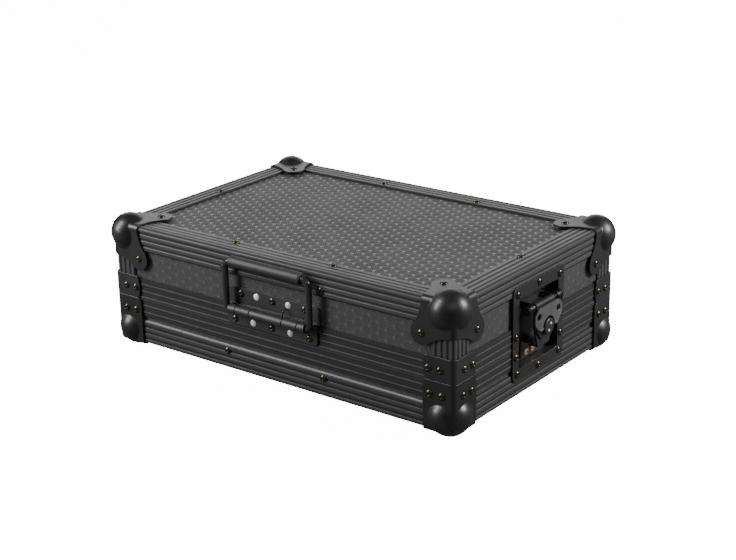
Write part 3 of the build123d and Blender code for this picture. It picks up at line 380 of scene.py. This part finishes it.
dress(laminate("laminate_level", (0, 0, 0), 1.0), "lid_top_panel", "base_floor_panel")
dress(laminate("laminate_long_side", (math.radians(90), 0, 0), wall_cells),
      "lid_front_panel", "lid_back_panel", "base_front_panel", "base_back_panel")
dress(laminate("laminate_short_side", (0, math.radians(90), math.radians(90)), wall_cells),
      "lid_left_panel", "lid_right_panel", "base_left_panel", "base_right_panel")


# ---------------------------------------------------------------- ribbed edge and closing rails
# Aluminium angle, pushed through a die that leaves four flat ribs on each leg, cut to length,
# mitred and anodised black. The closing rails along the seam carry two fine beads.

drawn, drawn_in, drawn_out = new_group(
    "die_lines", [("Vector", "v", None), ("Across", "v", (1.0, 1.0, 1.0))], ["Lines", "Streaks"])
drawn_line = add(drawn, "ShaderNodeTexNoise", Scale=1500.0, Detail=2.0)
drawn_streak = add(drawn, "ShaderNodeTexNoise", Scale=160.0, Detail=3.0)
drawn_stretch = vector_node(drawn, "MULTIPLY", drawn_in.outputs["Vector"],
                            drawn_in.outputs["Across"])
for drawn_node in (drawn_line, drawn_streak):
    drawn.links.new(drawn_stretch.outputs[0], drawn_node.inputs["Vector"])
drawn.links.new(drawn_line.outputs["Fac"], drawn_out.inputs["Lines"])
drawn.links.new(ramp(drawn, drawn_streak.outputs["Fac"], 0.35, 0.7), drawn_out.inputs["Streaks"])

# How deep a point lies under the flat outer faces, so that grooves and gaps can be painted dark:
# painted shade where little light reaches.
side_low, side_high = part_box("base_edge_rails_side")
front_low, front_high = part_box("base_edge_rail_front")
back_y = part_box("base_edge_rail_back")[1][1]
case_middle_y, case_half_y = (front_low[1] + back_y) / 2, (back_y - front_low[1]) / 2
case_half_x, case_low = side_high[0], side_low[2]
case_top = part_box("lid_edge_rail_front")[1][2]
seam_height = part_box("lid_braces")[0][2]
groove_depth = 0.0007
sunk, sunk_in, sunk_out = new_group(
    "groove_painted_shade", [("Vector", "v", None), ("Depth", "f", groove_depth)], ["Dirt"])
sunk_axes = sunk.nodes.new("ShaderNodeSeparateXYZ")
sunk.links.new(sunk_in.outputs["Vector"], sunk_axes.inputs[0])
sunk_y = math_node(sunk, "SUBTRACT", sunk_axes.outputs["Y"], case_middle_y)
sunk_y = math_node(sunk, "SUBTRACT", case_half_y, math_node(sunk, "ABSOLUTE", sunk_y))
sunk_x = math_node(sunk, "ABSOLUTE", sunk_axes.outputs["X"])
sunk_x = math_node(sunk, "SUBTRACT", case_half_x, sunk_x)
sunk_up = math_node(sunk, "SUBTRACT", case_top, sunk_axes.outputs["Z"])
sunk_down = math_node(sunk, "SUBTRACT", sunk_axes.outputs["Z"], case_low)
sunk_least = math_node(sunk, "MINIMUM", math_node(sunk, "MINIMUM", sunk_x, sunk_y),
                       math_node(sunk, "MINIMUM", sunk_up, sunk_down))
sunk_start = math_node(sunk, "MULTIPLY", sunk_in.outputs["Depth"], 0.3)
sunk_shade = ramp(sunk, sunk_least, sunk_start, sunk_in.outputs["Depth"])
sunk.links.new(sunk_shade, sunk_out.inputs["Dirt"])

dust_grey = (0.16, 0.16, 0.16, 1)
painted_shade_black = (0.004, 0.004, 0.004, 1)
# The lip's pale band is partly bare rubbed aluminium, partly a painted highlight for the light the
# rounded lip catches.
bare_lip_and_highlight = (0.36, 0.37, 0.39, 1)
seam_shadow, seam_core = 0.0009, 0.0004  # half widths of the dark line along the seam
lip_fades, lip_bare = 0.0014, 0.0008  # how far below its top a rubbed lip begins and is bare


def anodised(name, across, tone=0.044, dullness=0.36, lip=None):
    """Black anodised extrusion with die lines, painted shade in its grooves and along the seam
    and, if asked, a pale lip that is partly rubbed bare and partly a painted highlight.
    """
    material, tree, shader = new_material(name)
    place = object_vector(tree)
    lines = place_group(tree, drawn, Vector=place, Across=across)
    worn = place_group(tree, marks, Vector=place, Speck_Size=1100.0)
    dark = (tone, tone, tone * 1.03, 1)
    light = (tone * 2.4, tone * 2.4, tone * 2.4, 1)
    colour = tint(tree, lines.outputs["Streaks"], 0.15, dark, light)
    colour = tint(tree, worn.outputs["Specks"], 0.2, colour, dust_grey)
    painted_shade = place_group(tree, sunk, Vector=place, Depth=groove_depth).outputs["Dirt"]
    axes = tree.nodes.new("ShaderNodeSeparateXYZ")
    tree.links.new(place, axes.inputs[0])
    # A dark line painted along the seam between lid and base: painted shadow in the gap.
    off_seam = math_node(tree, "SUBTRACT", axes.outputs["Z"], seam_height)
    seam = ramp(tree, math_node(tree, "ABSOLUTE", off_seam), seam_shadow, seam_core)
    painted_shade = math_node(tree, "MAXIMUM", painted_shade, seam)
    # Grooves, gaps and the seam are painted near black: painted shade.
    colour = tint(tree, painted_shade, 0.88, colour, painted_shade_black)
    # A pale band painted along the top of the lip: partly rubbed bare metal, partly painted
    # highlight.
    if lip:
        rubbed = ramp(tree, axes.outputs["Z"], lip - lip_fades, lip - lip_bare)
        colour = tint(tree, rubbed, 0.9, colour, bare_lip_and_highlight)
    tree.links.new(colour, shader.inputs["Base Color"])
    shader.inputs["Specular IOR Level"].default_value = 0.45
    rough = math_node(tree, "MULTIPLY_ADD", lines.outputs["Streaks"], 0.05, dullness)
    rough = math_node(tree, "MULTIPLY_ADD", worn.outputs["Smudge"], 0.06, rough)
    rough = math_node(tree, "MULTIPLY_ADD", painted_shade, 0.30, rough)
    tree.links.new(rough, shader.inputs["Roughness"])
    bump(tree, shader, lines.outputs["Lines"], 0.00001, 0.1)
    return material


weld = 0.000002
flat_within = math.radians(0.8)
bevel_from, sharp_from = math.radians(32), math.radians(50)
bevel_steps = 2


def free_copy(node, flatten=True):
    """A CAD piece's triangles, welded and cleared of flat splits, as a mesh of its own."""
    work = bmesh.new()
    work.from_mesh(frame["nodes"][node].data)
    bmesh.ops.remove_doubles(work, verts=work.verts, dist=weld)
    if flatten:
        bmesh.ops.dissolve_limit(work, angle_limit=flat_within, verts=work.verts, edges=work.edges)
    mesh = bpy.data.meshes.new(node)
    work.to_mesh(mesh)
    work.free()
    if "custom_normal" in mesh.attributes:
        mesh.attributes.remove(mesh.attributes["custom_normal"])
    return mesh


def plain_mesh(piece):
    """Bakes a piece's modifiers into its mesh."""
    depsgraph = bpy.context.evaluated_depsgraph_get()
    baked = bpy.data.meshes.new_from_object(piece.evaluated_get(depsgraph))
    piece.modifiers.clear()
    piece.data = baked


def broken_edges(node, width, finish, flatten=True):
    """The piece in its finish, its sharp edges broken as tumbling and enamel leave them."""
    piece = bpy.data.objects.new(f"{node}_finished", free_copy(node, flatten))
    bpy.context.scene.collection.objects.link(piece)
    piece.data.materials.clear()
    piece.data.materials.append(finish)
    edge = piece.modifiers.new("broken_edges", "BEVEL")
    edge.width = width
    edge.segments = bevel_steps
    edge.limit_method = "ANGLE"
    edge.angle_limit = bevel_from
    edge.use_clamp_overlap = False
    piece.data.shade_smooth()
    piece.data.set_sharp_from_angle(angle=sharp_from)
    flats = piece.modifiers.new("flat_faces_first", "WEIGHTED_NORMAL")
    flats.keep_sharp = True
    plain_mesh(piece)
    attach(piece, frame["nodes"][node]["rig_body"])
    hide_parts(node)
    return piece


# Die lines are stretched along the way that each rail was drawn. The lower rails are duller, and
# painted a darker tone than the lid's edge rails, though all are one black anodising: the
# difference in tone is painted shade.
drawn_x, drawn_y, drawn_z = (0.004, 1.0, 1.0), (1.0, 0.004, 1.0), (1.0, 1.0, 0.004)
dull = 0.46
along_length = anodised("anodised_along_length", drawn_x)
along_depth = anodised("anodised_along_depth", drawn_y)
along_height = anodised("anodised_upright", drawn_z)
low_length = anodised("anodised_low_along_length", drawn_x, 0.032, dull)
low_depth = anodised("anodised_low_along_depth", drawn_y, 0.036, dull)
low_lipped = anodised("anodised_low_lipped", drawn_x, 0.030, dull, front_high[2])
for rail, ease, length_finish, depth_finish in (
        ("lid_edge_rail", 0.0003, along_length, along_depth),
        ("lid_closing_rail", 0.0002, low_length, low_depth),
        ("base_closing_rail", 0.0002, low_length, low_depth),
        ("base_edge_rail", 0.0003, low_lipped, low_depth)):
    broken_edges(f"{rail}_front", ease, length_finish)
    broken_edges(f"{rail}_back", ease, length_finish)
    broken_edges(f"{rail}s_side", ease, depth_finish)
broken_edges("lid_corner_posts", 0.0003, along_height)


# ---------------------------------------------------------------- ball corners, feet and braces
# Steel pressings: a drawn ball on three lobed or square plates, and plain angle braces at
# the seam, all dipped in a smooth black enamel that pools glossy on the balls.

enamel_dust = (0.22, 0.22, 0.22, 1)
peel_height = 0.0001


def enamel(name, tone, roughness, grain, gloss):
    """Black enamel over pressed steel, with faint orange peel and handling marks."""
    material, tree, shader = new_material(name)
    place = object_vector(tree)
    worn = place_group(tree, marks, Vector=place, Speck_Size=1000.0)
    peel = add(tree, "ShaderNodeTexNoise", Scale=grain, Detail=2.0)
    tree.links.new(place, peel.inputs["Vector"])
    dark = (tone, tone, tone, 1)
    light = (tone * 1.8, tone * 1.8, tone * 1.85, 1)
    colour = blend_colour(tree, worn.outputs["Smudge"], dark, light)
    colour = tint(tree, worn.outputs["Specks"], 0.3, colour, enamel_dust)
    tree.links.new(colour, shader.inputs["Base Color"])
    rough = math_node(tree, "MULTIPLY_ADD", worn.outputs["Smudge"], 0.07, roughness)
    rough = math_node(tree, "MULTIPLY_ADD", worn.outputs["Scratches"], 0.12, rough)
    tree.links.new(rough, shader.inputs["Roughness"])
    shader.inputs["Coat Weight"].default_value = gloss
    shader.inputs["Coat Roughness"].default_value = 0.12
    bump(tree, shader, peel.outputs["Fac"], peel_height, 0.25)
    return material


pressed_edge = 0.0004
pressing = enamel("enamelled_pressing", 0.006, 0.38, 1200.0, 0.12)
for corner in ("back_right", "back_left", "front_right", "front_left"):
    broken_edges(f"base_foot_corner_{corner}", pressed_edge, pressing)
    broken_edges(f"lid_ball_corner_{corner}", pressed_edge, pressing)
broken_edges("lid_braces", pressed_edge, enamel("enamelled_brace", 0.009, 0.40, 1500.0, 0.1))


# ---------------------------------------------------------------- domed rivets
# Hollow steel rivets, drawn heads with a rolled rim and a punched eye, clinched through the
# rails into the ply. One pattern stands at every rivet place, turned a little each time.

rivet_radius = 0.0048
head_steps = 28


def turned_head(name, profile):
    """A small turned part from its profile, (radius, height) pairs from eye to rim."""
    work = bmesh.new()
    ring = [work.verts.new((radius, 0, height)) for radius, height in profile]
    line = [work.edges.new(pair) for pair in zip(ring, ring[1:])]
    bmesh.ops.spin(work, geom=ring + line, cent=(0, 0, 0), axis=(0, 0, 1),
                   angle=2 * math.pi, steps=head_steps)
    bmesh.ops.remove_doubles(work, verts=work.verts, dist=weld)
    bmesh.ops.recalc_face_normals(work, faces=work.faces)
    mesh = bpy.data.meshes.new(name)
    work.to_mesh(mesh)
    work.free()
    mesh.shade_smooth()
    mesh.set_sharp_from_angle(angle=math.radians(55))
    head = bpy.data.objects.new(name, mesh)
    bpy.context.scene.collection.objects.link(head)
    return head


def head_places(node):
    """The seat and outward direction of each head, read from the loose solids of a CAD node."""
    mesh = free_copy(node)
    work = bmesh.new()
    work.from_mesh(mesh)
    bpy.data.meshes.remove(mesh)
    left = set(work.verts)
    places = []
    while left:
        island, queue = [], [left.pop()]
        while queue:
            corner = queue.pop()
            island.append(corner.co.copy())
            for edge in corner.link_edges:
                other = edge.other_vert(corner)
                if other in left:
                    left.remove(other)
                    queue.append(other)
        low = Vector([min(co[k] for co in island) for k in range(3)])
        high = Vector([max(co[k] for co in island) for k in range(3)])
        middle, size = (low + high) / 2, high - low
        along = max(range(3), key=lambda k: abs(size[k] - sum(size) / 3))
        wide = []  # where along the axis the widest corners lie, which are the head's rim
        for co in island:
            off_axis = (co - middle).length_squared - (co[along] - middle[along]) ** 2
            if off_axis > (0.96 * rivet_radius) ** 2:
                wide.append(co[along])
        outward = 1 if sum(wide) / len(wide) > middle[along] else -1
        seat = middle.copy()
        seat[along] = min(wide) if outward > 0 else max(wide)
        way = Vector((0, 0, 0))
        way[along] = outward
        places.append((seat, way))
    work.free()
    return sorted(places, key=lambda place: tuple(round(v, 5) for v in place[0]))


whole_turn = 6.283


def head_tree():
    """Node tree that stands one head at each point, along the point's own direction."""
    tree = bpy.data.node_groups.new("stand_heads", "GeometryNodeTree")
    for name, kind, way in (("Places", "NodeSocketGeometry", "INPUT"),
                            ("Head", "NodeSocketObject", "INPUT"),
                            ("Finish", "NodeSocketMaterial", "INPUT"),
                            ("Heads", "NodeSocketGeometry", "OUTPUT")):
        tree.interface.new_socket(name=name, in_out=way, socket_type=kind)
    start, end = tree.nodes.new("NodeGroupInput"), tree.nodes.new("NodeGroupOutput")
    shape = tree.nodes.new("GeometryNodeObjectInfo")
    outward = tree.nodes.new("GeometryNodeInputNamedAttribute")
    outward.data_type = "FLOAT_VECTOR"
    outward.inputs["Name"].default_value = "outward"
    lean = tree.nodes.new("FunctionNodeAlignRotationToVector")
    lean.axis = "Z"
    twist = tree.nodes.new("FunctionNodeRandomValue")
    twist.inputs["Max"].default_value = whole_turn
    twist.inputs["Seed"].default_value = 11
    about = tree.nodes.new("FunctionNodeAxisAngleToRotation")
    about.inputs["Axis"].default_value = (0, 0, 1)
    stand = tree.nodes.new("GeometryNodeInstanceOnPoints")
    turn_each = tree.nodes.new("GeometryNodeRotateInstances")
    real = tree.nodes.new("GeometryNodeRealizeInstances")
    finish = tree.nodes.new("GeometryNodeSetMaterial")
    for source, target in ((start.outputs["Places"], stand.inputs["Points"]),
                           (start.outputs["Head"], shape.inputs["Object"]),
                           (shape.outputs["Geometry"], stand.inputs["Instance"]),
                           (outward.outputs["Attribute"], lean.inputs["Vector"]),
                           (lean.outputs["Rotation"], stand.inputs["Rotation"]),
                           (stand.outputs["Instances"], turn_each.inputs["Instances"]),
                           (twist.outputs[1], about.inputs["Angle"]),
                           (about.outputs["Rotation"], turn_each.inputs["Rotation"]),
                           (turn_each.outputs["Instances"], real.inputs["Geometry"]),
                           (real.outputs["Geometry"], finish.inputs["Geometry"]),
                           (start.outputs["Finish"], finish.inputs["Material"]),
                           (finish.outputs["Geometry"], end.inputs["Heads"])):
        tree.links.new(source, target)
    return tree


head_nodes = head_tree()


def standing_heads(node, head, finish):
    """Replaces a CAD node's heads with turned ones, as one mesh on the node's body."""
    places = head_places(node)
    mesh = bpy.data.meshes.new(f"{node}_heads")
    mesh.from_pydata([seat for seat, way in places], [], [])
    outward = mesh.attributes.new("outward", "FLOAT_VECTOR", "POINT")
    for slot, (seat, way) in enumerate(places):
        outward.data[slot].vector = way
    piece = bpy.data.objects.new(f"{node}_heads", mesh)
    bpy.context.scene.collection.objects.link(piece)
    stand = piece.modifiers.new("stand_heads", "NODES")
    stand.node_group = head_nodes
    sockets = {item.name: item.identifier for item in head_nodes.interface.items_tree}
    stand[sockets["Head"]] = head
    stand[sockets["Finish"]] = finish
    plain_mesh(piece)
    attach(piece, frame["nodes"][node]["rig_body"])
    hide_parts(node)


def chrome(name, rim, crown, roughness):
    """Dark plating that has rubbed through to warm metal where the head stands out most."""
    material, tree, shader = new_material(name)
    place = object_vector(tree)
    worn = place_group(tree, marks, Vector=place, Speck_Size=1600.0)
    paler = tuple(c * 1.5 for c in crown[:3]) + (1,)
    colour = blend_colour(tree, worn.outputs["Smudge"], crown, paler)
    form = tree.nodes.new("ShaderNodeNewGeometry")
    rubbed = ramp(tree, form.outputs["Pointiness"], 0.50, 0.56)
    tree.links.new(tint(tree, rubbed, 0.8, colour, rim), shader.inputs["Base Color"])
    rough = math_node(tree, "MULTIPLY_ADD", worn.outputs["Specks"], 0.2, roughness)
    tree.links.new(rough, shader.inputs["Roughness"])
    shader.inputs["Metallic"].default_value = 1.0
    return material


rivet_profile = [(0.0, 0.0012), (0.0009, 0.0012), (0.0014, 0.00145), (0.0015, 0.0021),
                 (0.0018, 0.00228), (0.0026, 0.00222), (0.0035, 0.0018), (0.0042, 0.0012),
                 (0.0046, 0.00075), (rivet_radius, 0.0004), (rivet_radius, 0.0)]
rivet_head = turned_head("rivet_head", rivet_profile)
black_chrome = chrome("black_chrome", (0.16, 0.14, 0.10, 1), (0.030, 0.029, 0.027, 1), 0.26)
standing_heads("lid_rivets", rivet_head, black_chrome)
standing_heads("base_rivets", rivet_head, black_chrome)
bpy.data.objects.remove(rivet_head)  # only the pattern, which rides on nothing


# ---------------------------------------------------------------- recessed butterfly latches
# Deep drawn steel dishes, a sprung bracket, and a cam that a folding wing turns; the hook
# behind it pulls down on the keeper. Zinc parts blackened, the rivets of the keeper bare.

dish_finish = enamel("enamelled_dish", 0.009, 0.40, 1600.0, 0.1)
wing_finish = enamel("blackened_wing", 0.055, 0.30, 1400.0, 0.2)
inner_finish = enamel("blackened_plate", 0.014, 0.34, 1500.0, 0.1)
for side in ("right", "left"):
    broken_edges(f"latch_dish_upper_{side}", 0.0003, dish_finish)
    broken_edges(f"latch_dish_lower_{side}", 0.0003, dish_finish)
    broken_edges(f"latch_wing_{side}", 0.0003, wing_finish, flatten=False)
    for plate in ("bracket", "carrier", "hook"):
        broken_edges(f"latch_{plate}_{side}", 0.00025, inner_finish)
broken_edges("latch_keepers", 0.0003, inner_finish)


def bare_metal(name, colour, roughness, scale, metallic=1.0):
    """Plated or bare metal with a mottled tone and specks."""
    material, tree, shader = new_material(name)
    place = object_vector(tree)
    worn = place_group(tree, marks, Vector=place, Speck_Size=scale)
    stained = tuple(c * 0.6 for c in colour[:3]) + (1,)
    colour = blend_colour(tree, worn.outputs["Smudge"], colour, stained)
    tree.links.new(colour, shader.inputs["Base Color"])
    rough = math_node(tree, "MULTIPLY_ADD", worn.outputs["Specks"], 0.3, roughness)
    tree.links.new(rough, shader.inputs["Roughness"])
    shader.inputs["Metallic"].default_value = metallic
    return material


# The two studs in the spindle's face are polished bare: their end faces take a second slot,
# painted near white and nearly without metal, partly the bare metal and partly a painted highlight
# for the glint they show.
stud_radius = 0.0017
stud_face = math.pi * stud_radius ** 2
stud_white_and_highlight = bare_metal("polished_stud_and_highlight", (0.99, 0.98, 0.94, 1), 0.35, 1500.0, 0.1)
for side in ("right", "left"):
    spindle = broken_edges(f"latch_spindle_{side}", 0.0002, inner_finish)
    spindle.data.materials.append(stud_white_and_highlight)
    for face in spindle.data.polygons:
        if abs(face.normal.x) > 0.95 and 0.5 < face.area / stud_face < 1.3:
            face.material_index = 1

dress(bare_metal("oiled_spring_steel", (0.10, 0.10, 0.10, 1), 0.3, 2000.0),
      "latch_springs_right", "latch_springs_left", "handle_spring")
dress(bare_metal("bare_rivet_steel", (0.62, 0.50, 0.38, 1), 0.42, 1500.0, 0.8),
      "keeper_rivets")


# ---------------------------------------------------------------- sprung handle
# A bent wire bail in a curled back plate, with a smooth moulded grip; a coil spring in the
# middle of the barrel lays it flat. Four of its ten fasteners are bright nickel bolts, painted
# near white: partly their plating, partly a painted highlight.

plate_finish = enamel("enamelled_back_plate", 0.013, 0.50, 1500.0, 0.05)
broken_edges("handle_back_plate", 0.0003, plate_finish)
dress(enamel("glossy_bail", 0.010, 0.26, 900.0, 0.6), "handle_bail")
dress(enamel("moulded_grip", 0.014, 0.55, 900.0, 0.03), "handle_grip")
# Near-white, nearly diffuse colour for the bolts: partly nickel plating, partly a painted
# highlight.
dress(bare_metal("nickel_and_painted_highlight", (0.99, 0.99, 0.97, 1), 0.30, 1500.0, 0.1),
      "handle_bolts")


# ---------------------------------------------------------------- foam linings
# Soft black polyether foam, cut to trays that sit loose in the base and lid. The knife leaves
# square rims that have eased with use, and an open grain of fine cells.

foam_wall = (0.040, 0.040, 0.041, 1)
foam_pore_shade = (0.018, 0.018, 0.018, 1)
foam_worn = (0.05, 0.05, 0.05, 1)
foam_grain = 0.0003
foam_skin_size = 0.0042


def foam_finish():
    """Open-cell foam: dark and dull, its pinholes painted darker as painted shade inside them."""
    material, tree, shader = new_material("cut_foam")
    place = object_vector(tree)
    cells = add(tree, "ShaderNodeTexVoronoi", Scale=900.0)
    cells.feature = "DISTANCE_TO_EDGE"
    tree.links.new(place, cells.inputs["Vector"])
    pores = ramp(tree, cells.outputs["Distance"], 0.02, 0.20)
    worn = place_group(tree, marks, Vector=place, Speck_Size=700.0)
    # The pores are painted darker than the walls: painted shade inside the open cells.
    colour = blend_colour(tree, pores, foam_wall, foam_pore_shade)
    colour = tint(tree, worn.outputs["Smudge"], 0.4, colour, foam_worn)
    tree.links.new(colour, shader.inputs["Base Color"])
    shader.inputs["Roughness"].default_value = 0.95
    shader.inputs["Sheen Weight"].default_value = 0.25
    shader.inputs["Sheen Roughness"].default_value = 0.5
    height = math_node(tree, "MULTIPLY_ADD", worn.outputs["Smudge"], 0.6, pores)
    bump(tree, shader, height, foam_grain, 0.7)
    return material


def eased_foam(node, finish):
    """The lining with rims and corners eased as cut foam settles, as one closed form."""
    piece = bpy.data.objects.new(f"{node}_foam", free_copy(node))
    bpy.context.scene.collection.objects.link(piece)
    piece.data.materials.clear()
    piece.data.materials.append(finish)
    skin = piece.modifiers.new("foam_skin", "REMESH")
    skin.mode = "VOXEL"
    skin.voxel_size = foam_skin_size
    ease = piece.modifiers.new("eased_rims", "SMOOTH")
    ease.factor, ease.iterations = 0.5, 4
    plain_mesh(piece)
    piece.data.shade_smooth()
    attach(piece, frame["nodes"][node]["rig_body"])
    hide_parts(node)


foam = foam_finish()
eased_foam("base_foam_tray", foam)
eased_foam("lid_foam_lining", foam)
